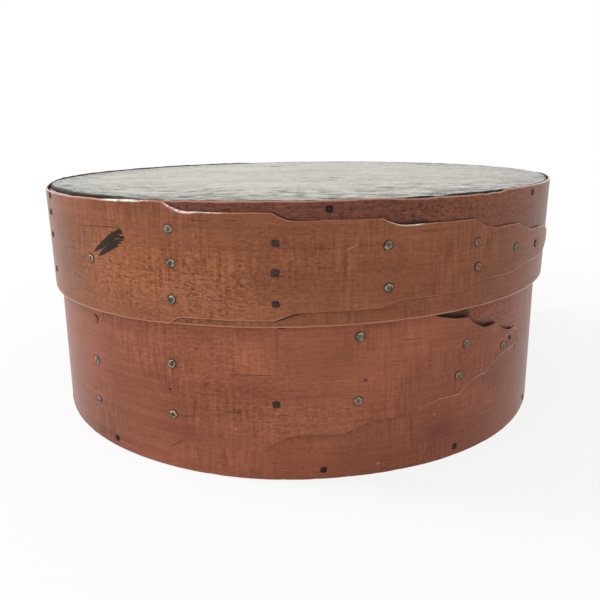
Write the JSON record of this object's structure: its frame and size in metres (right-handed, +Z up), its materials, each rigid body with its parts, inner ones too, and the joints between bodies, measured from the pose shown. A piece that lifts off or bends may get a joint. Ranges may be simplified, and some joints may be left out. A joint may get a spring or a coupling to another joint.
{
  "type": "round bentwood pantry box",
  "caption": "Round lidded box of thin bent wood: straight-sided band with a stepped, tacked lap, round base board and a deep overlapping lid that lifts off.",
  "frame": {"origin": "middle of the underside of the base board, on the axis of the box", "axes": "+Z up; -Y towards the front, where the tacked laps are; +X to the right seen from the front"},
  "size_m": [0.2354, 0.2362, 0.1016],
  "materials": {
    "box_band_wood": "worn satin, reddish brown",
    "lid_band_wood": "worn satin, orange brown",
    "base_board_wood": "dry, unfinished",
    "lid_board_wood": "weathered grey brown",
    "peg_wood": "dark end grain",
    "tack_metal": "dull, tarnished tin over iron",
    "nail_iron": "dark oxidised iron"
  },
  "bodies": {
    "box": {"box_band": "box_band_wood", "base_board": "base_board_wood", "base_pegs": "peg_wood", "box_heel_tacks": "tack_metal", "box_first_step_tacks": "tack_metal", "box_second_step_nails": "nail_iron", "box_third_step_tacks": "tack_metal", "box_fifth_step_tacks": "tack_metal", "box_tip_tack": "tack_metal", "box_tip_brad": "nail_iron"},
    "lid": {"lid_band": "lid_band_wood", "lid_board": "lid_board_wood", "lid_board_pegs": "peg_wood", "lid_heel_nails": "nail_iron", "lid_heel_tack": "tack_metal", "lid_first_step_tacks": "tack_metal", "lid_second_step_nails": "nail_iron", "lid_third_step_tacks": "tack_metal", "lid_fourth_step_tacks": "tack_metal", "lid_tip_tacks": "tack_metal"}
  },
  "joints": [
    {"name": "lid_lift", "type": "slide", "parent": "box", "child": "lid", "axis": [0, 0, 1], "range_m": [0, 0.15]}
  ]
}
